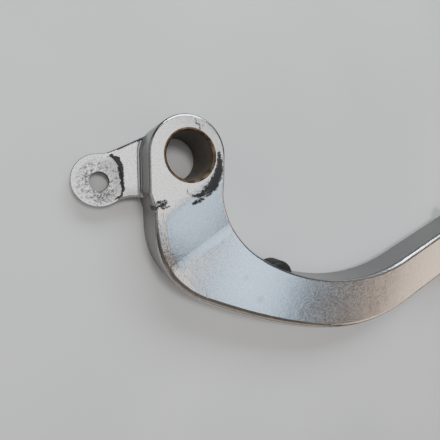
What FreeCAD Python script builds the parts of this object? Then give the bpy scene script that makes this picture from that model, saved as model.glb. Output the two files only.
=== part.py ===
import FreeCAD, Part
import Sketcher
import math
import os

# Motorcycle shift lever: a cast arm that turns on a plain bush, with a
# linkage ear beside the pivot and a spring-loaded folding toe peg.
# Origin: on the pivot axis, halfway along the boss. +Z is the outer side.

Vector = FreeCAD.Vector
Rotation = FreeCAD.Rotation
Placement = FreeCAD.Placement
doc = FreeCAD.newDocument("ShiftLever")

sizes = {
    "boss_length": 20.0,
    "boss_radius": 13.0,
    "bush_outer_radius": 9.0,
    "bush_bore_radius": 8.0,
    "arm_front_height": 7.0,
    "arm_back_height": -6.5,
    "arm_slope": 21.4,
    "ear_hole_x": -27.1,
    "ear_hole_y": -8.3,
    "ear_radius": 8.85,
    "ear_hole_radius": 3.3,
    "ear_face_height": -4.0,
    "hinge_x": 165.7,
    "hinge_y": -36.72,
    "hinge_height": 0.25,
    "fork_gap": 11.0,
    "fork_seat": 10.4,
    "fork_end_radius": 6.75,
    "fork_depth": 7.75,
    "barrel_width": 9.3,
    "barrel_radius": 6.5,
    "hub_radius": 4.3,
    "bolt_radius": 2.5,
    "bolt_clearance_radius": 2.55,
    "hinge_bush_radius": 3.5,
    "peg_reach": 18.0,
    "peg_radius": 4.5,
    "peg_screw_radius": 3.0,
    "rubber_radius": 8.5,
    "toe_thickness": 10.0,
    "toe_pad_radius": 8.0,
    "spring_radius": 5.0,
    "spring_wire_radius": 0.5,
    "spring_pitch": 1.1,
    "stop_x": 40.9,
    "stop_y": -43.40,
    "stop_slope": -24.0,
    "stop_length": 11.6,
    "stop_width": 9.6,
    "stop_height": 3.3,
    "stop_stem_radius": 3.0,
}
sheet = doc.addObject("Spreadsheet::Sheet", "Sizes")
for row, (alias, value) in enumerate(sizes.items(), start=1):
    sheet.set("A%d" % row, alias)
    sheet.set("B%d" % row, str(value))
    sheet.setAlias("B%d" % row, alias)
doc.recompute()


def size(alias):
    return float(sheet.get(alias))


def new_body(label, at_hinge=False, reach=False):
    """A body; toe-end bodies sit on the hinge axis, turned to the arm's slope."""
    body = doc.addObject("PartDesign::Body", label + "_body")
    body.Label = label
    if at_hinge:
        place_at_hinge(body, reach)
    return body


def place_at_hinge(item, reach=False):
    item.Placement = Placement(Vector(0, 0, 0), Rotation(Vector(0, 0, 1), size("arm_slope")))
    item.setExpression("Placement.Rotation.Angle", "Sizes.arm_slope")
    along = " + Sizes.peg_reach * %s(Sizes.arm_slope * 1 deg)"
    item.setExpression("Placement.Base.x", "Sizes.hinge_x" + (along % "cos" if reach else ""))
    item.setExpression("Placement.Base.y", "Sizes.hinge_y" + (along % "sin" if reach else ""))
    item.setExpression("Placement.Base.z", "Sizes.hinge_height")


def sketch_on(body, role, name, at=(0.0, 0.0, 0.0), turn=0.0):
    """A sketch on an origin plane, moved to a point and turned about the Z axis."""
    plane = [f for f in body.Origin.OriginFeatures if f.Role == role][0]
    sketch = body.newObject("Sketcher::SketchObject", name)
    sketch.AttachmentSupport = [(plane, "")]
    sketch.MapMode = "FlatFace"
    x, y, z = at
    if role == "XZ_Plane":
        sketch.AttachmentOffset = Placement(Vector(x, z, -y), Rotation(Vector(0, 1, 0), turn))
    else:
        sketch.AttachmentOffset = Placement(Vector(x, y, z), Rotation(Vector(0, 0, 1), turn))
    return sketch


def outline(sketch, points):
    """Closed outline; a point given as (x, y, mid_x, mid_y) is reached along an arc."""
    last = points[-1]
    for point in points:
        start = Vector(last[0], last[1], 0)
        end = Vector(point[0], point[1], 0)
        if len(point) == 4:
            sketch.addGeometry(Part.Arc(start, Vector(point[2], point[3], 0), end), False)
        else:
            sketch.addGeometry(Part.LineSegment(start, end), False)
        last = point


def circle(sketch, x, y, radius):
    """A circle; a radius given by name follows its cell in the sheet."""
    named = isinstance(radius, str)
    value = size(radius) if named else radius
    sketch.addGeometry(Part.Circle(Vector(x, y, 0), Vector(0, 0, 1), value), False)
    index = sketch.addConstraint(Sketcher.Constraint("Radius", sketch.GeometryCount - 1, value))
    if named:
        sketch.setExpression("Constraints[%d]" % index, "Sizes." + radius)


def hexagon(sketch, across_flats):
    corner = across_flats / math.sqrt(3)
    outline(sketch, [(corner * math.cos(math.radians(60 * k)), corner * math.sin(math.radians(60 * k)))
                     for k in range(6)])


def pad(body, sketch, length, symmetric=False, back=False):
    feature = body.newObject("PartDesign::Pad", sketch.Name + "Pad")
    feature.Profile = sketch
    feature.SideType = "Symmetric" if symmetric else "One side"
    if isinstance(length, str):
        feature.setExpression("Length", "Sizes." + length)
    else:
        feature.Length = length
    feature.Reversed = back
    doc.recompute()
    return feature


def pocket(body, sketch, length, symmetric=False, back=False):
    before = body.Shape.Volume
    feature = body.newObject("PartDesign::Pocket", sketch.Name + "Pocket")
    feature.Profile = sketch
    feature.SideType = "Symmetric" if symmetric else "One side"
    feature.Length = length
    feature.Reversed = back
    doc.recompute()
    if body.Shape.Volume > before - 0.01:
        raise ValueError("nothing cut by " + feature.Name)
    return feature


def turned(body, role, name, points):
    """Turned piece: the outline is (radius, height) about Z, or about Y on XY_Plane."""
    sketch = sketch_on(body, role, name)
    outline(sketch, points)
    feature = body.newObject("PartDesign::Revolution", name + "Turned")
    feature.Profile = sketch
    feature.ReferenceAxis = (sketch, ["V_Axis"])
    feature.Angle = 360
    doc.recompute()
    return feature


def soften(body, radius, test):
    """Fillet the edges of the body that pass the test."""
    tip = body.Tip
    names = ["Edge%d" % (i + 1) for i, edge in enumerate(tip.Shape.Edges) if test(edge)]
    feature = body.newObject("PartDesign::Fillet", tip.Name + "Soft")
    feature.Base = (tip, names)
    feature.Radius = radius
    doc.recompute()
    return feature


def middle(edge):
    return edge.valueAt((edge.FirstParameter + edge.LastParameter) / 2)


class Trail:
    """Walks a tangent chain of lines and arcs and keeps the points of its outline."""

    def __init__(self, x, y, heading):
        self.x, self.y, self.heading = x, y, math.radians(heading)
        self.points = [(x, y)]

    def line(self, length):
        self.x += length * math.cos(self.heading)
        self.y += length * math.sin(self.heading)
        self.points.append((self.x, self.y))
        return self

    def arc(self, radius, turn):
        centre_x = self.x - radius * math.sin(self.heading)
        centre_y = self.y + radius * math.cos(self.heading)
        stops = []
        for share in (0.5, 1.0):
            angle = self.heading + math.radians(turn) * share
            stops.append((centre_x + radius * math.sin(angle), centre_y - radius * math.cos(angle)))
        self.heading += math.radians(turn)
        self.x, self.y = stops[1]
        self.points.append(stops[1] + stops[0])
        return self

    def line_to_reach(self, reach):
        """Straight on until the point lies at this reach along the heading from the origin."""
        along = self.x * math.cos(self.heading) + self.y * math.sin(self.heading)
        return self.line(reach - along)


# ---- lever arm: plan outline ----
slope = math.radians(size("arm_slope"))
hinge_reach = size("hinge_x") * math.cos(slope) + size("hinge_y") * math.sin(slope)
end_reach = hinge_reach + size("fork_end_radius")
boss_x, boss_y = -0.5, 0.3

inner = Trail(12.4, -2.0, -90).line(9.5).arc(14.4, 16.5).arc(38.6, 42.3).arc(95.8, 35.5).arc(90.4, 17.1)
inner.line_to_reach(end_reach)
outer = Trail(-11.8, -18.0, -90).line(5.2).arc(32.5, 62.1).arc(212.0, 17.15).arc(91.9, 32.15)
outer.line_to_reach(end_reach)

blank = new_body("arm_blank")
plan = sketch_on(blank, "XY_Plane", "ArmPlan")
boss_radius = size("boss_radius")
plan_points = [(-13.5, boss_y), (-13.5, -12.0)] + outer.points
back_way = list(reversed(inner.points))
plan_points.append(back_way[0][:2])
for ahead, behind in zip(back_way, back_way[1:]):
    plan_points.append(behind[:2] + ahead[2:])
plan_points.append((boss_x + boss_radius, boss_y))
plan_points[0] = (boss_x - boss_radius, boss_y, boss_x, boss_y + boss_radius)
outline(plan, plan_points)
pad(blank, plan, "boss_length", symmetric=True)


def step_cut(name, start, end, from_height, to_height, clear_height, slope):
    """Lowers a face of the arm beyond the boss: a straight ramp with a tangent arc at each end."""
    length, drop = end - start, to_height - from_height
    tilt = math.radians(slope)
    radius = (length * math.tan(tilt) - abs(drop)) / (2 * (1 / math.cos(tilt) - 1))
    way = math.copysign(1, drop)
    full = (radius * math.sin(tilt), way * radius * (1 - math.cos(tilt)))
    half = (radius * math.sin(tilt / 2), way * radius * (1 - math.cos(tilt / 2)))
    sketch = sketch_on(blank, "XZ_Plane", name, turn=-57.0)
    outline(sketch, [
        (start, from_height),
        (start + full[0], from_height + full[1], start + half[0], from_height + half[1]),
        (end - full[0], to_height - full[1]),
        (end, to_height, end - half[0], to_height - half[1]),
        (260.0, to_height),
        (260.0, clear_height),
        (start, clear_height),
    ])
    pocket(blank, sketch, 500, symmetric=True)


half_boss = size("boss_length") / 2
step_cut("FrontStep", 9.8, 31.2, half_boss, size("arm_front_height"), half_boss + 3, 9.6)
step_cut("BackStep", 24.0, 36.0, -half_boss, size("arm_back_height"), -half_boss - 3, 25.0)

# linkage ear: a lug at the back of the boss, its neck rising to the boss wall
ear_x, ear_y, ear_radius = size("ear_hole_x"), size("ear_hole_y"), size("ear_radius")
ear_top = size("ear_face_height")
lug_y = ear_y + 0.3
lug_turn = math.radians(-65)
lug_exit = (ear_x + ear_radius * math.cos(lug_turn), lug_y + ear_radius * math.sin(lug_turn))
ear_body = new_body("ear_blank")
ear = sketch_on(ear_body, "XY_Plane", "EarPlan", at=(0, 0, -half_boss))
outline(ear, [
    (-10.0, 8.25),
    (-23.4, 1.7),
    (ear_x, lug_y + ear_radius, -25.2, 1.07),
    lug_exit + (ear_x - ear_radius, lug_y),
    (-15.5, -13.85, -19.56, -14.45),
    (-8.0, -14.2),
    (-5.0, 4.0),
])
pad(ear_body, ear, half_boss + 3)
# the link face is flat, and the neck climbs gently from it into the boss
ear_side = sketch_on(ear_body, "XZ_Plane", "EarSide")
outline(ear_side, [
    (-21.0, ear_top),
    (-4.0, ear_top + 2.2),
    (-4.0, 6.0),
    (-50.0, 6.0),
    (-50.0, ear_top),
])
pocket(ear_body, ear_side, 80, symmetric=True)


soften(ear_body, 0.6, lambda edge: abs(middle(edge).z + half_boss) < 0.01 and middle(edge).x < -15)
joined = doc.addObject("Part::Fuse", "ArmJoined")
joined.Base = blank
joined.Tool = ear_body
doc.recompute()


# ---- rounded casting edges ----
def share(value, stops):
    """Straight-line interpolation between (position, result) pairs."""
    if value <= stops[0][0]:
        return stops[0][1]
    for (low, first), (high, second) in zip(stops, stops[1:]):
        if value <= high:
            return first + (second - first) * (value - low) / (high - low)
    return stops[-1][1]


def on_trail(point, trail):
    for start, stop in zip(trail.points, trail.points[1:]):
        a, b = Vector(start[0], start[1], 0), Vector(stop[0], stop[1], 0)
        flat = Vector(point.x, point.y, 0)
        if len(stop) == 4:
            piece = Part.Arc(a, Vector(stop[2], stop[3], 0), b).toShape()
        else:
            piece = Part.LineSegment(a, b).toShape()
        if piece.distToShape(Part.Vertex(flat))[0] < 0.01:
            return True
    return False


def front_radius(point):
    if on_trail(point, outer):
        return share(point.x, [(-11.8, 1.1), (-8.0, 2.0), (5.5, 3.0), (65.0, 3.0), (150.0, 2.4)])
    if on_trail(point, inner):
        return share(point.x, [(12.4, 1.0), (15.0, 0.9), (34.0, 0.9), (86.0, 1.3), (113.0, 2.0)])
    return 1.0


def with_chain(first, last):
    """True where an edge runs the way the rim's chain does: in along the inner side, out along the outer."""
    if on_trail(first, outer) and on_trail(last, outer):
        return last.x - first.x > 0.001 or (abs(last.x - first.x) <= 0.001 and last.y < first.y)
    return last.x < first.x


def rounding(name, base, radii):
    """A Part::Fillet whose radii come from a function of an edge's first, middle and last point."""
    chosen = []
    for index, edge in enumerate(base.Shape.Edges, start=1):
        first, last = edge.valueAt(edge.FirstParameter), edge.valueAt(edge.LastParameter)
        pair = radii(first, middle(edge), last)
        if pair and not with_chain(first, last):
            pair = (pair[1], pair[0])
        if pair and len(edge.Vertexes) == 2:
            chosen.append((index,) + pair)
    feature = doc.addObject("Part::Fillet", name)
    feature.Base = base
    feature.Edges = chosen
    doc.recompute()
    print(name, "edges", len(chosen), "valid", feature.Shape.isValid())
    return feature


def neck_corner(first, mid, last):
    """Where the neck of the ear meets the boss wall."""
    if -14.2 < mid.x < -11 and -9 < min(first.z, last.z) and max(first.z, last.z) < 3:
        if abs(first.z - last.z) < 1.5:
            return (2.2, 2.2)
    return None


def ear_rim(first, mid, last):
    """The ear's upper outline, round the lug and along the neck."""
    if max(first.x, mid.x, last.x) > -11.6 or min(first.z, mid.z, last.z) < ear_top - 0.05:
        return None
    if mid.z > 1 or (abs(first.x - last.x) < 0.1 and mid.x > ear_x):
        return None
    return (1.1, 1.1)


def front_rim(first, mid, last):
    """The arm's and boss's front outline; steep corner edges are left alone."""
    for p in (first, mid, last):
        on_boss = abs(math.hypot(p.x - boss_x, p.y - boss_y) - boss_radius) < 0.02
        on_flank = p.x < -11.7 or (abs(p.x - 12.45) < 0.1 and p.y > -3.0)
        if p.z < 6.9 or not (on_boss or on_flank or on_trail(p, inner) or on_trail(p, outer)):
            return None
    if abs(first.z - last.z) > 2.8:
        return None
    return (front_radius(first), front_radius(last))


necked = rounding("NeckRounded", joined, neck_corner)
eared = rounding("EarRounded", necked, ear_rim)
rounded = rounding("ArmRounded", eared, front_rim)


# ---- lever arm: bores, seats and fork ----
arm = doc.addObject("PartDesign::Body", "lever_arm_body")
arm.Label = "lever_arm"
arm.BaseFeature = rounded
doc.recompute()

hinge_at = (size("hinge_x"), size("hinge_y"), size("hinge_height"))
arm_slope = size("arm_slope")
gap = size("fork_gap")

bore = sketch_on(arm, "XY_Plane", "Bore")
circle(bore, 0, 0, "bush_outer_radius")
pocket(arm, bore, 60, symmetric=True)

ear_hole = sketch_on(arm, "XY_Plane", "EarHole")
circle(ear_hole, ear_x, ear_y, "ear_hole_radius")
pocket(arm, ear_hole, 60, symmetric=True)

# flat seat and blind stem hole of the stop rubber, cut square to the inner wall
stop_heading = math.radians(size("stop_slope"))
stop_out = Vector(-math.sin(stop_heading), math.cos(stop_heading), 0)
stop_foot = Vector(size("stop_x"), size("stop_y"), size("hinge_height"))


def stop_sketch(name, lift):
    spot = stop_foot + stop_out * lift
    return sketch_on(arm, "XZ_Plane", name, at=(spot.x, spot.y, spot.z), turn=size("stop_slope"))


seat = stop_sketch("StopSeat", 1.5)
half_seat_x, half_seat_z = size("stop_length") / 2 + 0.1, size("stop_width") / 2 + 0.1
outline(seat, [(-half_seat_x, -half_seat_z), (half_seat_x, -half_seat_z),
               (half_seat_x, half_seat_z), (-half_seat_x, half_seat_z)])
pocket(arm, seat, 2.0, back=True)
stem_hole = stop_sketch("StopStemHole", 0.0)
circle(stem_hole, 0, 0, "stop_stem_radius")
pocket(arm, stem_hole, 7.5, back=True)

# fork for the folding toe piece: end rounded about the hinge axis, then slotted
reach_past = 30.0
end_radius = size("fork_end_radius")
fork_end = sketch_on(arm, "XZ_Plane", "ForkEnd", at=hinge_at, turn=arm_slope)
outline(fork_end, [
    (0.0, 12.0),
    (reach_past, 12.0),
    (reach_past, -12.0),
    (0.0, -12.0),
    (0.0, -end_radius),
    (0.0, end_radius, end_radius, 0.0),
])
pocket(arm, fork_end, 60, symmetric=True)

fork_slot = sketch_on(arm, "XY_Plane", "ForkSlot", at=hinge_at, turn=arm_slope)
root = -size("fork_depth")
outline(fork_slot, [
    (root, -gap / 2),
    (reach_past, -gap / 2),
    (reach_past, gap / 2),
    (root, gap / 2),
])
pocket(arm, fork_slot, 60, symmetric=True)

hinge_hole = sketch_on(arm, "XZ_Plane", "HingeHole", at=hinge_at, turn=arm_slope)
circle(hinge_hole, 0, 0, "bolt_clearance_radius")
pocket(arm, hinge_hole, 60, symmetric=True)


def across(distance):
    """A point on the hinge axis, the given distance towards the inner wall."""
    return (hinge_at[0] - distance * math.sin(slope), hinge_at[1] + distance * math.cos(slope), hinge_at[2])


for side, name in ((1, "NutSeat"), (-1, "HeadSeat")):
    spot_face = sketch_on(arm, "XZ_Plane", name, at=across(side * size("fork_seat")), turn=arm_slope)
    circle(spot_face, 0, 0, 5.9)
    pocket(arm, spot_face, 5, back=(side < 0))

# blind hole in the slot root that holds the fixed leg of the spring
spring_leg_y = size("spring_radius") - 0.9
leg_hole_at = across(spring_leg_y)
leg_plane = [f for f in arm.Origin.OriginFeatures if f.Role == "YZ_Plane"][0]
leg_hole = arm.newObject("Sketcher::SketchObject", "SpringLegHole")
leg_hole.AttachmentSupport = [(leg_plane, "")]
leg_hole.MapMode = "FlatFace"
leg_hole.AttachmentOffset = Placement(
    Vector(leg_hole_at[1], leg_hole_at[2] + size("spring_radius"), leg_hole_at[0]),
    Rotation(Vector(0, 1, 0), arm_slope))
circle(leg_hole, 0, 0, 0.6)
pocket(arm, leg_hole, 11.5)

# machined seat for the link end on the ear
link_seat = sketch_on(arm, "XY_Plane", "LinkSeat", at=(0, 0, ear_top + 2))
circle(link_seat, ear_x - 3.8, ear_y, 11.3)
pocket(arm, link_seat, 2.35)

# ---- pivot bush: plain wrapped bush pressed into the boss ----
bush = new_body("pivot_bush")
bush_out, bush_in = size("bush_outer_radius"), size("bush_bore_radius")
turned(bush, "XZ_Plane", "BushProfile", [
    (bush_in, -half_boss + 0.5),
    (bush_in + 0.4, -half_boss),
    (bush_out - 0.3, -half_boss),
    (bush_out, -half_boss + 0.6),
    (bush_out, half_boss - 0.1),
    (bush_out - 0.1, half_boss),
    (bush_in + 0.45, half_boss),
    (bush_in, half_boss - 0.5),
])

# ---- stop rubber: domed pad with a stem pushed into the inner wall ----
stop = new_body("stop_rubber")
stop.Placement = Placement(stop_foot, Rotation(Vector(0, 0, 1), 0))
stop.setExpression("Placement.Base.x", "Sizes.stop_x")
stop.setExpression("Placement.Base.y", "Sizes.stop_y")
stop.setExpression("Placement.Base.z", "Sizes.hinge_height")
pad_lens = sketch_on(stop, "XY_Plane", "StopLens", turn=size("stop_slope"))
half_stop = size("stop_length") / 2
outline(pad_lens, [
    (-half_stop, -0.5),
    (half_stop, -0.5),
    (half_stop, 0.0),
    (-half_stop, 0.0, 0.0, size("stop_height")),
])
pad(stop, pad_lens, "stop_width", symmetric=True)
soften(stop, 2.0, lambda edge: abs(abs(middle(edge).z) - size("stop_width") / 2) < 0.01
       and Vector(middle(edge).x, middle(edge).y, 0).dot(stop_out) > 2)
stem = sketch_on(stop, "XZ_Plane", "StopStem", turn=size("stop_slope"))
circle(stem, 0, 0, "stop_stem_radius")
pad(stop, stem, 7.0)

# ---- folding toe piece ----
# Toe-end pieces share one frame: X along the arm, Y along the hinge, Z outwards.
toe = new_body("toe_arm", at_hinge=True)
barrel_half = size("barrel_width") / 2
toe_half = size("toe_thickness") / 2
reach = size("peg_reach")
spring_side = 0.2
barrel = sketch_on(toe, "XZ_Plane", "Barrel")
circle(barrel, 0, 0, "barrel_radius")
pad(toe, barrel, "barrel_width", symmetric=True)
link = sketch_on(toe, "XY_Plane", "Link")
outline(link, [(0, -barrel_half), (reach, -barrel_half), (reach, barrel_half), (0, barrel_half)])
pad(toe, link, "toe_thickness", symmetric=True)
toe_pad = sketch_on(toe, "XY_Plane", "ToePad")
circle(toe_pad, reach, 0, "toe_pad_radius")
pad(toe, toe_pad, "toe_thickness", symmetric=True)
heel = sketch_on(toe, "XZ_Plane", "Heel", at=(0, spring_side, 0))
outline(heel, [(-7.7, -toe_half), (0, -toe_half), (0, 0), (-7.7, 0)])
pad(toe, heel, barrel_half + spring_side)
soften(toe, 3.0, lambda edge: edge.Curve.TypeId.endswith("Line") and abs(edge.tangentAt(edge.FirstParameter).z) > 0.99
       and 9 < middle(edge).x < 13)
soften(toe, 1.2, lambda edge: abs(abs(middle(edge).z) - toe_half) < 0.01 and middle(edge).x > 8)

spring_room = sketch_on(toe, "XZ_Plane", "SpringRoom", at=(0, barrel_half + 1, 0))
circle(spring_room, 0, 0, 7.7)
circle(spring_room, 0, 0, "hub_radius")
pocket(toe, spring_room, barrel_half + 1 - spring_side, back=True)
tang_groove = sketch_on(toe, "XZ_Plane", "TangGroove", at=(0, spring_side + 1, 0))
circle(tang_groove, 0, 0, 5.8)
circle(tang_groove, 0, 0, "hub_radius")
pocket(toe, tang_groove, 2.6, back=True)
bush_seat = sketch_on(toe, "XZ_Plane", "HingeBushSeat")
circle(bush_seat, 0, 0, "hinge_bush_radius")
pocket(toe, bush_seat, 40, symmetric=True)
screw_hole = sketch_on(toe, "XY_Plane", "PegScrewHole")
circle(screw_hole, reach, 0, 3.2)
pocket(toe, screw_hole, 40, symmetric=True)

hinge_bush = new_body("hinge_bush", at_hinge=True)
inside, outside = size("bolt_radius") + 0.03, size("hinge_bush_radius")
turned(hinge_bush, "XY_Plane", "HingeBushProfile", [
    (inside, -barrel_half), (outside, -barrel_half), (outside, barrel_half), (inside, barrel_half)])

# ---- hinge bolt, washers and lock nut ----
bolt = new_body("hinge_bolt", at_hinge=True)
seat_y = size("fork_seat")
shank = size("bolt_radius")
turned(bolt, "XY_Plane", "BoltProfile", [
    (0, -seat_y - 5.0),
    (3.9, -seat_y - 5.0),
    (4.25, -seat_y - 4.6),
    (4.25, -seat_y),
    (shank, -seat_y),
    (shank, seat_y + 6.6),
    (shank - 0.5, seat_y + 7.1),
    (0, seat_y + 7.1),
])
socket = sketch_on(bolt, "XZ_Plane", "BoltSocket", at=(0, -seat_y - 5.0, 0))
hexagon(socket, 4.0)
pocket(bolt, socket, 2.6)

nut_washer = new_body("nut_washer", at_hinge=True)
turned(nut_washer, "XY_Plane", "NutWasherProfile", [
    (shank + 0.1, seat_y), (5.0, seat_y), (5.0, seat_y + 1.0), (shank + 0.1, seat_y + 1.0)])

nut = new_body("hinge_nut", at_hinge=True)
nut_hex = sketch_on(nut, "XZ_Plane", "NutHex", at=(0, seat_y + 1.0, 0))
hexagon(nut_hex, 8.0)
pad(nut, nut_hex, 3.6, back=True)
nut_collar = sketch_on(nut, "XZ_Plane", "NutCollar", at=(0, seat_y + 1.0, 0))
circle(nut_collar, 0, 0, 3.75)
pad(nut, nut_collar, 4.9, back=True)
soften(nut, 0.5, lambda edge: abs(middle(edge).y - seat_y - 5.9) < 0.01)
nut_bore = sketch_on(nut, "XZ_Plane", "NutBore")
circle(nut_bore, 0, 0, "bolt_radius")
pocket(nut, nut_bore, 80, symmetric=True)
ring_seat = sketch_on(nut, "XZ_Plane", "RingSeat", at=(0, seat_y + 4.6, 0))
circle(ring_seat, 0, 0, 3.2)
pocket(nut, ring_seat, 5.0)

nut_ring = new_body("nut_ring", at_hinge=True)
turned(nut_ring, "XY_Plane", "NutRingProfile", [
    (shank, seat_y + 4.6), (3.2, seat_y + 4.6), (3.2, seat_y + 5.7), (shank, seat_y + 5.7)])

washers = doc.addObject("Part::MultiFuse", "hinge_washers_pair")
washers.Label = "hinge_washers"
rings = []
for name, low in (("OuterWasher", -gap / 2), ("InnerWasher", gap / 2 - 0.75)):
    disc = doc.addObject("Part::Cylinder", name + "Disc")
    hole = doc.addObject("Part::Cylinder", name + "Hole")
    disc.Radius, hole.Radius = 6.3, shank + 0.05
    hole.setExpression("Radius", "Sizes.bolt_clearance_radius")
    for piece in (disc, hole):
        piece.Height = 0.75
        piece.Placement = Placement(Vector(0, low, 0), Rotation(Vector(1, 0, 0), -90))
    ring = doc.addObject("Part::Cut", name)
    ring.Base, ring.Tool = disc, hole
    rings.append(ring)
washers.Shapes = rings
place_at_hinge(washers)

# ---- torsion spring: three turns about the hub, one leg in the arm, one tang in the toe ----
wire = size("spring_wire_radius")
coil_radius = size("spring_radius")
coil_top = spring_leg_y
turns = 3
helix = doc.addObject("Part::Helix", "SpringHelix")
helix.LocalCoord = "Left-handed"
helix.setExpression("Pitch", "Sizes.spring_pitch")
helix.setExpression("Radius", "Sizes.spring_radius")
helix.Height = size("spring_pitch") * turns
# the coil's own axis is laid along the hinge, its start on the inner-wall side
lay = Placement(FreeCAD.Matrix(0, -1, 0, 0, 0, 0, -1, coil_top, 1, 0, 0, 0, 0, 0, 0, 1))
helix.Placement = lay
section = doc.addObject("Part::Circle", "SpringSection")
section.setExpression("Radius", "Sizes.spring_wire_radius")
section.Placement = lay * Placement(Vector(coil_radius, 0, 0), Rotation(Vector(1, 0, 0), 90))
coil = doc.addObject("Part::Sweep", "SpringCoil")
coil.Sections = [section]
coil.Spine = (helix, ["Edge1"])
coil.Solid = True
coil.Frenet = True
coil_end = Vector(coil_radius, 0, size("spring_pitch") * turns)
leg = doc.addObject("Part::Cylinder", "SpringLeg")
leg.Radius, leg.Height = wire, 10.3
leg.Placement = lay * Placement(Vector(coil_radius, 0, 0), Rotation(Vector(1, 0, 0), -90))
tang = doc.addObject("Part::Cylinder", "SpringTang")
tang.Radius, tang.Height = wire, 1.6
tang.Placement = lay * Placement(coil_end, Rotation())
elbow = doc.addObject("Part::Sphere", "SpringElbow")
elbow.Radius = wire
elbow.Placement = lay * Placement(coil_end, Rotation())
spring = doc.addObject("Part::MultiFuse", "torsion_spring_wire")
spring.Label = "torsion_spring"
spring.Shapes = [coil, leg, tang, elbow]
place_at_hinge(spring)

# ---- toe peg, its rubber and its screw, turned about the peg axis ----
top = toe_half
peg_end = top + 37.0
post = size("peg_radius")
bore_r = size("peg_screw_radius")
peg = new_body("toe_peg", at_hinge=True, reach=True)
turned(peg, "XZ_Plane", "PegProfile", [
    (bore_r, top),
    (7.4, top),
    (8.0, top + 0.6),
    (8.0, top + 2.2),
    (7.6, top + 2.6),
    (post, top + 2.6),
    (post, peg_end - 2.2),
    (6.0, peg_end - 2.2),
    (6.4, peg_end - 1.8),
    (6.4, peg_end - 0.9),
    (5.4, peg_end, 6.1, peg_end - 0.25),
    (0, peg_end),
    (0, top + 15.0),
    (bore_r, top + 13.5),
])
flats = sketch_on(peg, "XY_Plane", "PegFlats", at=(0, 0, top))
for side in (-1, 1):
    outline(flats, [(-12, side * 6.9), (12, side * 6.9), (12, side * 12), (-12, side * 12)])
pocket(peg, flats, 2.6, back=True)

rubber = new_body("peg_rubber", at_hinge=True, reach=True)
low, high = top + 2.75, peg_end - 2.35
rib_count = 8
rib_pitch = (high - low) / rib_count
crest, valley = size("rubber_radius"), size("rubber_radius") - 1.1
profile = [(post + 0.05, high), (post + 0.05, low), (valley, low)]
for rib in range(rib_count):
    foot = low + rib * rib_pitch + rib_pitch * 0.12
    tip = foot + rib_pitch * 0.76
    profile.append((valley, foot))
    profile.append((valley, tip, crest, (foot + tip) / 2))
profile.append((valley, high))
turned(rubber, "XZ_Plane", "RubberProfile", profile)

peg_washer = new_body("peg_washer", at_hinge=True, reach=True)
turned(peg_washer, "XZ_Plane", "PegWasherProfile", [
    (bore_r + 0.1, -top - 1.2), (5.4, -top - 1.2), (5.4, -top), (bore_r + 0.1, -top)])
split = sketch_on(peg_washer, "XY_Plane", "WasherSplit")
outline(split, [(0, -0.3), (8, -0.3), (8, 0.3), (0, 0.3)])
pocket(peg_washer, split, 40, symmetric=True)

screw = new_body("peg_screw", at_hinge=True, reach=True)
under = -top - 1.2
screw_head = sketch_on(screw, "XY_Plane", "ScrewHead", at=(0, 0, under - 3.8))
hexagon(screw_head, 10.0)
pad(screw, screw_head, 3.8)
screw_shank = sketch_on(screw, "XY_Plane", "ScrewShank", at=(0, 0, under))
circle(screw_shank, 0, 0, "peg_screw_radius")
pad(screw, screw_shank, 18.0)

# ---- checks and files ----
doc.recompute()
pieces = {item.Label: item for item in (
    arm, bush, stop, toe, hinge_bush, bolt, nut_washer, nut, nut_ring, washers, spring,
    peg, rubber, peg_washer, screw)}
for item in doc.Objects:
    if "Invalid" in item.State or "Error" in item.State:
        raise RuntimeError("failed to build: " + item.Name)
os.makedirs("parts", exist_ok=True)
for label, item in pieces.items():
    shape = item.Shape
    if shape.isNull() or not shape.isValid() or not shape.Solids:
        raise RuntimeError("bad shape: " + label)
    shape.exportStep("parts/" + label + ".step")
    print("%-16s %9.1f mm3  %d solid" % (label, shape.Volume, len(shape.Solids)))
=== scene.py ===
import bpy
import math
from mathutils import Matrix, Vector

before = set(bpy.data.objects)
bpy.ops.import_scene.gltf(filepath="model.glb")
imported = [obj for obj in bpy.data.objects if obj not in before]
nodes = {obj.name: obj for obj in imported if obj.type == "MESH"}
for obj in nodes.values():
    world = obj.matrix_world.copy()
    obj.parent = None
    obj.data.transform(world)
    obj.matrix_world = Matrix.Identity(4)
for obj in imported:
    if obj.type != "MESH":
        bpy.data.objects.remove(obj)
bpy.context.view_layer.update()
print("frame loaded:", len(nodes), "nodes")


# shader helpers
class Wire:    # one output socket, usable in sums
    def __init__(self, paint, socket):
        self.paint = paint
        self.socket = socket

    def __add__(self, other):
        return self.paint.maths("ADD", self, other)

    def __radd__(self, other):
        return self.paint.maths("ADD", other, self)

    def __sub__(self, other):
        return self.paint.maths("SUBTRACT", self, other)

    def __rsub__(self, other):
        return self.paint.maths("SUBTRACT", other, self)

    def __mul__(self, other):
        return self.paint.maths("MULTIPLY", self, other)

    def __rmul__(self, other):
        return self.paint.maths("MULTIPLY", other, self)

    def __pow__(self, other):
        return self.paint.maths("POWER", self, other)

    def __rpow__(self, other):
        return self.paint.maths("POWER", other, self)

    def lower(self, other):
        return self.paint.maths("MINIMUM", self, other)

    def upper(self, other):
        return self.paint.maths("MAXIMUM", self, other)

    def step(self, low, high):    # 0 below low, 1 above high, smooth between
        return self.paint.node("MapRange", {"interpolation_type": "SMOOTHSTEP"},
                               {"Value": self, "From Min": low, "From Max": high})


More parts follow.
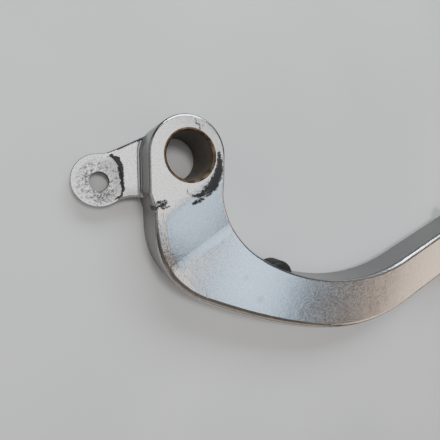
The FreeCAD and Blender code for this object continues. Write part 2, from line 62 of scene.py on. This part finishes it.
class Shade:    # adds nodes to a material or to the world
    def __init__(self, block):
        self.block = block
        block.use_nodes = True
        self.tree = block.node_tree
        self.tree.nodes.clear()

    def node(self, kind, settings=None, sockets=None, out=0):
        made = self.tree.nodes.new("ShaderNode" + kind)
        for key, value in (settings or {}).items():
            setattr(made, key, value)
        for key, value in (sockets or {}).items():
            if isinstance(value, Wire):
                self.tree.links.new(value.socket, made.inputs[key])
            elif isinstance(value, tuple) and made.inputs[key].type == "RGBA":
                made.inputs[key].default_value = (*value, 1)
            else:
                made.inputs[key].default_value = value
        return Wire(self, made.outputs[out]) if made.outputs else None    # the material output has none

    def maths(self, operation, *values):
        return self.node("Math", {"operation": operation}, dict(enumerate(values)))


class Paint(Shade):    # one material, worked in the object's own millimetres
    def __init__(self, name):
        super().__init__(bpy.data.materials.new(name))
        self.at = self.node("VectorMath", {"operation": "SCALE"},
                            {0: self.node("TexCoord", out="Object"), "Scale": 1000})
        self.x, self.y, self.z = self.parts(self.at)

    def parts(self, vector):    # its X, Y and Z
        split = self.node("SeparateXYZ", None, {0: vector}).socket.node
        return [Wire(self, split.outputs[axis]) for axis in "XYZ"]

    def blend(self, share, first, second):
        return self.node("Mix", {"data_type": "RGBA"}, {0: share, 6: first, 7: second}, out=2)

    def stretch(self, x, y, z):    # the same place, squeezed along an axis
        return self.node("VectorMath", {"operation": "MULTIPLY"}, {0: self.at, 1: (x, y, z)})

    def vector(self, x, y, z):
        return self.node("CombineXYZ", None, {0: x, 1: y, 2: z})

    def noise(self, size, detail=2.0, rough=0.5, warp=0.0, frm=None):    # size of a blotch in mm
        return self.node("TexNoise", None, {"Vector": frm or self.at, "Scale": 1 / size, "Detail": detail,
                                            "Roughness": rough, "Distortion": warp})

    def cells(self, size):
        return self.node("TexVoronoi", None, {"Vector": self.at, "Scale": 1 / size})

    def reach(self, x, y):    # distance from a line along Z
        return ((self.x - x) ** 2 + (self.y - y) ** 2) ** 0.5

    def around(self):    # angle about Z
        return self.maths("ARCTAN2", self.y, self.x)

    def stroke(self, points):    # distance outside a chain of (x, y, half width)
        best = None
        for (ax, ay, aw), (bx, by, bw) in zip(points, points[1:]):
            dx, dy = bx - ax, by - ay
            square = dx * dx + dy * dy
            along = ((self.x - ax) * (dx / square) + (self.y - ay) * (dy / square)).upper(0).lower(1)
            offX, offY = self.x - ax - along * dx, self.y - ay - along * dy
            gap = (offX * offX + offY * offY) ** 0.5 - (along * (bw - aw) + aw)
            best = gap if best is None else best.lower(gap)
        return best

    def done(self, colour, metal, rough, height, specular=0.5):    # height in millimetres
        bump = self.node("Bump", None, {"Height": height, "Strength": 1.0, "Distance": 0.001})
        shader = self.node("BsdfPrincipled", None, {"Base Color": colour, "Metallic": metal,
                                                    "Roughness": rough, "Specular IOR Level": specular,
                                                    "IOR": 1.5, "Normal": bump})
        self.node("OutputMaterial", None, {"Surface": shader})
        return self.block


# silver paint of the arm, with its wear
arm = {
    # colours
    "silver": (0.82, 0.83, 0.84), "shade": (0.60, 0.61, 0.62),
    # the side colours, the outer and inner rim colours and the step colour are painted shade and painted
    # reflection
    "wall": (0.19, 0.19, 0.186), "wallShade": (0.15, 0.15, 0.148),
    "outer": (0.15, 0.115, 0.092), "edge": (0.055, 0.062, 0.075), "slope": (0.34, 0.29, 0.25),
    "bare": (0.86, 0.70, 0.58), "score": (0.09, 0.07, 0.06), "grey": (0.20, 0.20, 0.20),
    "grime": (0.010, 0.010, 0.011), "dryGrime": (0.035, 0.034, 0.034),
    # how strongly each is laid on
    "outerShare": 0.9, "edgeShare": 0.9, "stepPaintedShadeShare": 0.38, "pitShare": 0.55, "bareShare": 0.9,
    "scoreShare": 0.8, "smearShare": 0.28,
    # the lacquer: sizes and heights in mm
    "roughness": 0.20, "wallRougher": 0.16, "metal": 0.95, "specular": 0.18,
    "grain": 0.62, "grainLift": 0.016, "peel": 3.0, "peelLift": 0.02, "cloud": 14.0, "flake": 0.42,
    "pit": 0.9, "torn": 0.9, "tiny": 0.42,
    # heights that part the front of the arm from the ear
    "front": (3.0, 4.5), "ear": (-2.6, -1.6), "earFace": (-6.0, -5.0),
    # marks as chains of (x, y, half width) in mm
    "rubbed": [(9.9, 1.6, 0.6), (10.2, -1.3, 1.0), (10.1, -4.2, 1.5), (9.1, -7.2, 2.0), (7.4, -9.9, 2.1),
               (5.2, -11.9, 1.8), (2.8, -13.0, 0.9), (0.0, -13.2, 0.25)],
    "crumbs": [[(0.5, -15.4, 0.35), (1.8, -15.3, 0.7), (4.2, -14.2, 0.5)],
               [(1.6, 12.0, 0.1), (2.1, 10.6, 0.25), (3.3, 8.9, 0.25)], [(4.2, 9.9, 0.2), (3.7, 9.1, 0.2)],
               [(2.0, 10.4, 0.3), (3.0, 9.8, 0.25)], [(-1.3, -11.3, 0.3), (-1.2, -11.8, 0.2)]],
    "blotch": [(-11.2, -15.2, 0.6), (-9.0, -15.0, 1.0), (-9.3, -16.5, 0.9), (-10.6, -16.2, 0.6),
               (-12.3, -16.9, 0.8)],
    "tail": [(-9.6, -17.2, 0.2), (-7.5, -16.2, 0.3)],
    "hairline": [(-8.0, -14.9, 0.1), (-4.0, -14.4, 0.08), (-0.3, -13.4, 0.1)],
    "scrape": [(-10.0, -17.4, 0.7), (-9.3, -22.7, 1.0), (-8.7, -28.0, 1.1), (-7.3, -32.9, 1.2),
               (-5.4, -36.8, 1.2), (-2.7, -40.6, 0.9), (2.0, -45.4, 0.5)],
    "nick": [(6.5, -47.6, 0.12), (6.7, -49.6, 0.12)],
    "earBand": [(-24.4, -0.2, 0.2), (-22.8, 0.3, 0.6), (-21.3, -0.8, 1.0), (-20.3, -2.8, 0.95),
                (-20.0, -5.2, 0.95), (-19.9, -8.0, 0.65), (-19.6, -10.8, 0.6), (-20.1, -13.0, 0.45),
                (-22.3, -14.4, 0.25)],
    "earSmudge": [(-25.4, -3.0, 1.2), (-22.8, -2.6, 1.7), (-21.6, -7.0, 0.9), (-21.4, -11.0, 0.8),
                 (-24.2, -13.2, 1.1), (-27.6, -13.4, 1.0)],
    # the neck stroke below marks painted shade by the boss wall
    "neckPaintedShadeStroke": [(-17.8, -12.6, 0.6), (-14.6, -13.2, 1.2)],
    # round marks: middle, then the radii where they start and have faded out
    "earHole": (-27.1, -8.3), "earLip": 3.55,
    "earLeft": ((-31.0, -7.2), (0.6, 3.0)), "earBelow": ((-26.2, -13.2), (1.2, 5.6)),
    "smears": [((22.7, -44.0), (0.3, 1.6)), ((28.9, -53.3), (0.4, 2.4))],
}


def silverPaint(name, worn):
    p = Paint(name)
    s = arm

    # lacquer: fine grain, slow clouds, and rougher paint on the sides than on the faces; the sides' darker
    # colour is painted shade
    fleck = p.noise(s["grain"], 1.0, 0.6)
    fine = p.noise(s["grain"] * 0.45, 0.0)
    cloud = p.noise(s["cloud"], 3.0, 0.55)
    flake = p.cells(s["flake"])
    tone = ((fleck - 0.5) * 2.6 + (fine - 0.5) * 1.4 + (cloud - 0.5) * 0.5 + 0.62).upper(0).lower(1)
    _, facesY, facesZ = p.parts(p.node("TexCoord", out="Normal"))
    flat = p.maths("ABSOLUTE", facesZ)
    wall = 1 - flat.step(0.04, 0.30)
    wallPaintedShade = p.blend(tone, s["wallShade"], s["wall"])
    colour = p.blend(wall, p.blend(tone, s["shade"], s["silver"]), wallPaintedShade)

    # painted light on the rims and the step: a brown painted reflection on the outer rim, a painted shade
    # line along the inner one (wide round the boss, thin further out), and painted shade on the step
    outerEdge = (1 - flat.step(0.35, 0.93)) * (1 - facesY.step(-0.55, -0.15)) * (1 - wall)
    colour = p.blend(outerEdge * s["outerShare"], colour, s["outer"])
    # painted shade line along the inner rim
    farEnd = p.x.step(35, 80)
    line = (1 - flat.step(0.80, 0.995)) * (1 - farEnd) + (1 - flat.step(0.40, 0.60)) * farEnd
    innerRimShadeMask = flat.step(0.04, 0.16) * line * facesY.step(-0.5, -0.05)
    colour = p.blend(innerRimShadeMask * s["edgeShare"], colour, s["edge"])
    # painted shade on the step's sloping face
    slope = (1 - facesY.step(-0.17, -0.01)) * flat.step(0.93, 0.99) * p.z.step(0, 1)
    colour = p.blend(slope * s["stepPaintedShadeShare"], colour, s["slope"])

    rough = s["roughness"] + (cloud - 0.5) * 0.10 + (fleck - 0.5) * 0.14 + wall * s["wallRougher"]
    metal = s["metal"] + (flake - 0.5) * 0.08
    height = fleck * s["grainLift"] + fine * (s["grainLift"] * 0.4) + p.noise(s["peel"], 2.0) * s["peelLift"]
    pit = p.noise(s["pit"], 1.0).step(0.815, 0.84)    # a few dust specks under the lacquer
    colour = p.blend(pit * s["pitShare"], colour, s["grey"])
    if not worn:
        return p.done(colour, metal, rough, height, s["specular"])

    front = p.z.step(*s["front"])
    torn = p.noise(s["torn"], 4.0, 0.72)
    tiny = p.noise(s["tiny"], 2.0, 0.6)

    # grease rubbed round the bore, torn and streaky at its tail
    streak = p.noise(1.0, 3.0, 0.65, frm=p.vector(p.reach(0, 0) * 2.6, p.around() * 3.2, 0))
    tailEnd = 1 - p.x.step(1.0, 8.0)
    ragged = (torn - 0.5) * 3.4 + (tiny - 0.5) * 1.6 + (streak - 0.5) * (1.2 + tailEnd * 5.0)
    black = 1 - (p.stroke(s["rubbed"]) + ragged).step(-0.25, 0.1)
    black = black * (1 - (streak.step(0.56, 0.64) * tailEnd * 0.85))
    crumbs = None
    for chain in s["crumbs"]:
        gap = p.stroke(chain)
        crumbs = gap if crumbs is None else crumbs.lower(gap)
    black = black.upper(1 - (crumbs + (torn - 0.5) * 2.6 + (tiny - 0.5) * 1.5).step(-0.25, 0.2))
    blotch = p.stroke(s["blotch"]).lower(p.stroke(s["tail"])) + (torn - 0.5) * 2.2
    black = black.upper((1 - blotch.step(-0.2, 0.2)) * (1 - tiny.step(0.55, 0.66) * 0.7))
    black = black.upper((1 - p.stroke(s["hairline"]).step(0.0, 0.25)) * 0.22 * torn)
    black = black.upper((1 - p.stroke(s["nick"]).step(-0.05, 0.1)) * 0.9)
    black = black * front

    # the ear: a black band at the edge of the seat, smudges and specks round the hole
    band = p.stroke(s["earBand"]) + (torn - 0.5) * 2.0 + (tiny - 0.5) * 0.8
    onEar = 1 - band.step(-0.2, 0.15)
    smudge = (1 - p.stroke(s["earSmudge"]).step(-0.6, 1.6)) * (0.25 + torn * 0.75)
    away = p.reach(*s["earHole"])
    leftAt, leftFade = s["earLeft"]
    left = 1 - p.reach(*leftAt).step(*leftFade)
    belowAt, belowFade = s["earBelow"]
    below = 1 - p.reach(*belowAt).step(*belowFade)
    wide = (1 - away.step(5.5, 9.0)) * away.step(2.6, 3.6)
    dots = p.noise(0.55, 2.0, 0.6)
    speck = (dots + left * 0.13 + below * 0.10 + wide * 0.06).step(0.635, 0.68)
    rubbedGrey = (p.noise(1.1, 4.0, 0.7) + below * 0.07).step(0.42, 0.62) * wide * 0.9
    lip = (1 - (away - s["earLip"]).step(0.0, 0.35)) * 0.55 * torn.step(0.4, 0.6)
    onEar = onEar.upper(speck * wide.upper(left).upper(below).step(0.02, 0.3) * 0.88).upper(lip)
    # painted shade on the neck's lower side, next to the boss wall
    neckPaintedShade = (1 - p.stroke(s["neckPaintedShadeStroke"]).step(-0.6, 3.5)) * 0.35
    onEar = onEar.upper(neckPaintedShade).upper(smudge * 0.75).upper(rubbedGrey)
    onEar = onEar * (1 - p.z.step(*s["ear"])) * p.z.step(*s["earFace"])
    black = black.upper(onEar * (1 - p.x.step(-14.2, -13.6)))

    # bare metal where the outer front edge has been scraped, with dark scores along it
    along = p.noise(0.22, 3.0, 0.7, frm=p.stretch(1.0, 0.09, 1.0))
    scraped = (1 - (p.stroke(s["scrape"]) + (torn - 0.5) * 1.2).step(-0.1, 0.3)) * front
    score = scraped * along.step(0.55, 0.62) * s["scoreShare"]
    colour = p.blend(scraped * s["bareShare"], colour, s["bare"])
    colour = p.blend(score, colour, s["score"])
    colour = p.blend(black, colour, p.blend(tiny, s["grime"], s["dryGrime"]))
    metal = metal * (1 - black)
    rough = rough + black * 0.22 - scraped * (1 - black) * 0.05
    height = height + black * 0.03 * tiny - scraped * along * 0.05

    # two faint grey smears on the arm's face
    first, second = [1 - p.reach(*middle).step(*fade) for middle, fade in s["smears"]]
    colour = p.blend(first.upper(second) * front * s["smearShare"], colour, s["grey"])
    return p.done(colour, metal, rough, height, s["specular"])


# bush: bronze shell with a worn dark lining
bush = {"bronze": (0.20, 0.145, 0.085), "dull": (0.055, 0.042, 0.030), "lining": (0.060, 0.054, 0.048),
        "rubbed": (0.15, 0.125, 0.10), "liningFade": (8.0, 8.17), "frontBand": (7.2, 9.6), "metal": 0.85,
        "roughness": 0.34}


def bushMetal(name):
    p = Paint(name)
    s = bush
    stain = p.noise(2.2, 4.0, 0.65)
    turned = p.noise(1.0, 2.0, 0.5, frm=p.vector(p.around() * 1.2, 0, p.z * 4.0))
    smear = p.noise(1.4, 3.0, 0.6, frm=p.vector(p.x * 0.7, p.y * 0.7, p.z * 0.22))
    lining = 1 - p.reach(0, 0).step(*s["liningFade"])
    band = p.z.step(*s["frontBand"])
    worn = (band * 0.9 + smear.step(0.56, 0.72) * 0.5).lower(1)
    bronze = p.blend(stain.step(0.35, 0.7), s["dull"], s["bronze"])
    dark = p.blend(smear, s["lining"], s["rubbed"])
    colour = p.blend(lining * (1 - worn * 0.8), bronze, dark)
    metal = s["metal"] - lining * (1 - worn) * 0.55
    rough = s["roughness"] + stain * 0.18 + turned * 0.08
    return p.done(colour, metal, rough, turned * 0.012 + stain * 0.008)


# black rubber
rubber = {"black": (0.016, 0.017, 0.016), "dust": (0.075, 0.072, 0.066),
          "stop": {"rough": 0.42, "dusty": 0.0, "shine": 0.12},
          "peg": {"rough": 0.46, "dusty": 0.7, "shine": 0.45}}


def rubberSkin(name, kind):
    p = Paint(name)
    s = rubber[kind]
    pores = p.noise(0.35, 3.0, 0.65)
    bloom = p.noise(4.5, 4.0, 0.6)
    share = bloom.step(0.42, 0.75) * s["dusty"]
    colour = p.blend(share, rubber["black"], rubber["dust"])
    return p.done(colour, 0.0, s["rough"] + bloom * 0.14 + share * 0.1, pores * 0.012 + bloom * 0.02,
                  s["shine"])


# plated, plain and blackened steel of the toe end
steel = {
    "zinc": {"light": (0.72, 0.73, 0.75), "dark": (0.50, 0.51, 0.53), "rough": 0.27, "rust": 0.12},
    "plain": {"light": (0.62, 0.61, 0.60), "dark": (0.40, 0.39, 0.38), "rough": 0.30, "rust": 0.25},
    "spring": {"light": (0.20, 0.20, 0.21), "dark": (0.10, 0.10, 0.105), "rough": 0.36, "rust": 0.35},
    "black": {"light": (0.060, 0.060, 0.064), "dark": (0.028, 0.028, 0.030), "rough": 0.38, "rust": 0.10},
    "turned": {"light": (0.70, 0.71, 0.72), "dark": (0.55, 0.56, 0.57), "rough": 0.29, "rust": 0.05},
    "rustColour": (0.20, 0.10, 0.05),
}
hinge = {"at": (165.7, -36.72, 0.25), "slope": math.radians(21.4)}    # place in mm, turn about Z
peg = {"out": 18}    # mm from the hinge, along the arm


def steelSkin(name, kind, axis):    # axis is what the piece was turned about: hinge or peg
    p = Paint(name)
    s = steel[kind]
    slope = hinge["slope"]
    hx, hy, hz = hinge["at"]
    if axis == "hinge":
        across = (p.x - hx) * math.cos(slope) + (p.y - hy) * math.sin(slope)
        up = p.z - hz
        run = (p.y - hy) * math.cos(slope) - (p.x - hx) * math.sin(slope)
    else:
        across = p.x - (hx + peg["out"] * math.cos(slope))
        up = p.y - (hy + peg["out"] * math.sin(slope))
        run = p.z
    ring = (across * across + up * up) ** 0.5
    lathe = p.noise(0.16, 2.0, 0.6, frm=p.vector(ring, 0, run))
    patch = p.noise(1.8, 4.0, 0.6)
    spots = p.noise(0.7, 3.0, 0.7).step(0.62, 0.74) * s["rust"]
    colour = p.blend(patch * 0.7 + lathe * 0.3, s["dark"], s["light"])
    colour = p.blend(spots, colour, steel["rustColour"])
    rough = s["rough"] + patch * 0.12 + spots * 0.3
    return p.done(colour, 0.95 - spots, rough, lathe * 0.006 + patch * 0.004)


# oiled sintered bronze of the toe piece's bush
toeBush = {"bright": (0.52, 0.36, 0.17), "dull": (0.30, 0.19, 0.09), "pore": (0.06, 0.04, 0.03),
           "metal": 0.9, "roughness": 0.3}


def bronzeBush(name):
    p = Paint(name)
    s = toeBush
    pores = p.noise(0.25, 3.0, 0.7)
    oil = p.noise(1.6, 3.0)
    colour = p.blend(oil, s["dull"], s["bright"])
    colour = p.blend(pores.step(0.58, 0.70) * 0.6, colour, s["pore"])
    return p.done(colour, s["metal"], s["roughness"] + oil * 0.2, pores * 0.012)


# blue nylon of the lock nut's ring
nylon = {"deep": (0.055, 0.105, 0.24), "light": (0.085, 0.15, 0.31), "roughness": 0.42}


def nylonRing(name):
    p = Paint(name)
    mould = p.noise(0.5, 3.0, 0.6)
    haze = p.noise(2.5, 2.0)
    colour = p.blend(haze, nylon["deep"], nylon["light"])
    return p.done(colour, 0.0, nylon["roughness"] + mould * 0.12, mould * 0.01)


# which finish each node wears
finishes = {
    "lever_arm": silverPaint("castSilver", True),
    "toe_arm": silverPaint("toeSilver", False),
    "pivot_bush": bushMetal("bushBronze"),
    "stop_rubber": rubberSkin("stopRubber", "stop"),
    "peg_rubber": rubberSkin("pegRubber", "peg"),
    "hinge_bush": bronzeBush("hingeBronze"),
    "hinge_bolt": steelSkin("boltZinc", "zinc", "hinge"),
    "nut_washer": steelSkin("washerZinc", "zinc", "hinge"),
    "hinge_nut": steelSkin("nutZinc", "zinc", "hinge"),
    "nut_ring": nylonRing("nutNylon"),
    "hinge_washers": steelSkin("thrustSteel", "plain", "hinge"),
    "torsion_spring": steelSkin("springWire", "spring", "hinge"),
    "toe_peg": steelSkin("pegTurned", "turned", "peg"),
    "peg_washer": steelSkin("lockWasherSteel", "plain", "peg"),
    "peg_screw": steelSkin("screwBlack", "black", "peg"),
}
for name, material in finishes.items():
    for slot in nodes[name].material_slots:
        slot.material = material
print("finishes:", len(finishes))


# floor
floor = {"height": -0.010, "reach": 1.6, "light": (0.50, 0.505, 0.51), "deep": (0.445, 0.455, 0.46),
         "roughness": 0.42, "specular": 0.35}


def makeFloor():
    p = Paint("paleTop")
    veil = p.noise(110.0, 3.0, 0.5, 0.4)
    scuff = p.noise(6.0, 4.0, 0.6)
    colour = p.blend(veil.step(0.3, 0.7) * 0.85 + scuff * 0.15, floor["deep"], floor["light"])
    p.done(colour, 0.0, floor["roughness"] + scuff * 0.12, scuff * 0.01, floor["specular"])
    reach = floor["reach"]
    mesh = bpy.data.meshes.new("tableTop")
    corners = [(-reach, -reach, 0), (reach, -reach, 0), (reach, reach, 0), (-reach, reach, 0)]
    mesh.from_pydata(corners, [], [(0, 1, 2, 3)])
    top = bpy.data.objects.new("tableTop", mesh)
    bpy.context.scene.collection.objects.link(top)
    top.location.z = floor["height"]
    mesh.materials.append(p.block)


makeFloor()


# light
panels = {    # place, width and height, watts, colour
    "overhead": {"at": (-0.06, 0.02, 1.05), "size": (0.84, 1.1), "power": 4.3, "tint": (1.0, 0.98, 0.96)},
    "sky": {"at": (0.635, -0.25, 0.97), "size": (0.64, 0.30), "power": 1.2, "tint": (0.56, 0.77, 1.0)},
    "window": {"at": (0.25, 1.15, 0.80), "size": (1.2, 0.6), "power": 29.0, "tint": (0.91, 0.96, 1.0)},
    "warmCard": {"at": (1.25, -0.40, 0.59), "size": (1.2, 0.36), "power": 2.3, "tint": (1.0, 0.74, 0.55)},
    "frontCard": {"at": (0.10, -1.20, 0.40), "size": (1.6, 0.45), "power": 0.75, "tint": (1.0, 0.80, 0.64)},
    "leftCard": {"at": (-1.10, 0.10, 0.50), "size": (1.2, 0.5), "power": 5.6, "tint": (1.0, 0.95, 0.88)},
    "lamp": {"at": (0.02, 0.22, 1.0), "size": (0.18, 0.18), "power": 4.5, "tint": (1.0, 0.98, 0.96)},
}
aim = Vector((0.06, -0.03, 0.0))    # middle of the lever
for name, panel in panels.items():
    light = bpy.data.lights.new(name, "AREA")
    light.shape = "RECTANGLE"
    light.size, light.size_y = panel["size"]
    light.energy = panel["power"]
    light.color = panel["tint"]
    holder = bpy.data.objects.new(name, light)
    holder.location = panel["at"]
    holder.rotation_euler = (aim - holder.location).to_track_quat("-Z", "Y").to_euler()
    holder.visible_glossy = name != "lamp"    # its small image is kept out of the lacquer
    bpy.context.scene.collection.objects.link(holder)

surroundings = {"glow": (1.0, 0.80, 0.62), "strength": 0.07, "backWall": (0.72, 0.74, 0.76)}
room = Shade(bpy.data.worlds.new("room"))
glow = room.node("Background", None, {"Color": surroundings["glow"], "Strength": surroundings["strength"]})
backWall = room.node("Background", None, {"Color": surroundings["backWall"]})    # seen past the table
byCamera = room.node("LightPath", out="Is Camera Ray")
mixed = room.node("MixShader", None, {0: byCamera, 1: glow, 2: backWall})
room.node("OutputWorld", None, {"Surface": mixed})
bpy.context.scene.world = room.block
print("lights:", len(panels))


# camera
view = {"at": (-0.0351, -0.0104, 0.10875), "right": (0.9084, 0.0, 0.4180), "up": (0.0422, 0.9949, -0.0918),
        "lens": 26.02, "sensor": 36.0, "clip": (0.005, 20.0)}
right = Vector(view["right"]).normalized()
up = Vector(view["up"])
up = (up - right * up.dot(right)).normalized()
back = right.cross(up)
lens = bpy.data.cameras.new("viewer")
lens.lens = view["lens"]
lens.sensor_width = view["sensor"]
lens.clip_start, lens.clip_end = view["clip"]
camera = bpy.data.objects.new("viewer", lens)
camera.matrix_world = Matrix.Translation(view["at"]) @ Matrix((right, up, back)).transposed().to_4x4()
bpy.context.scene.collection.objects.link(camera)
bpy.context.scene.camera = camera
print("camera set")
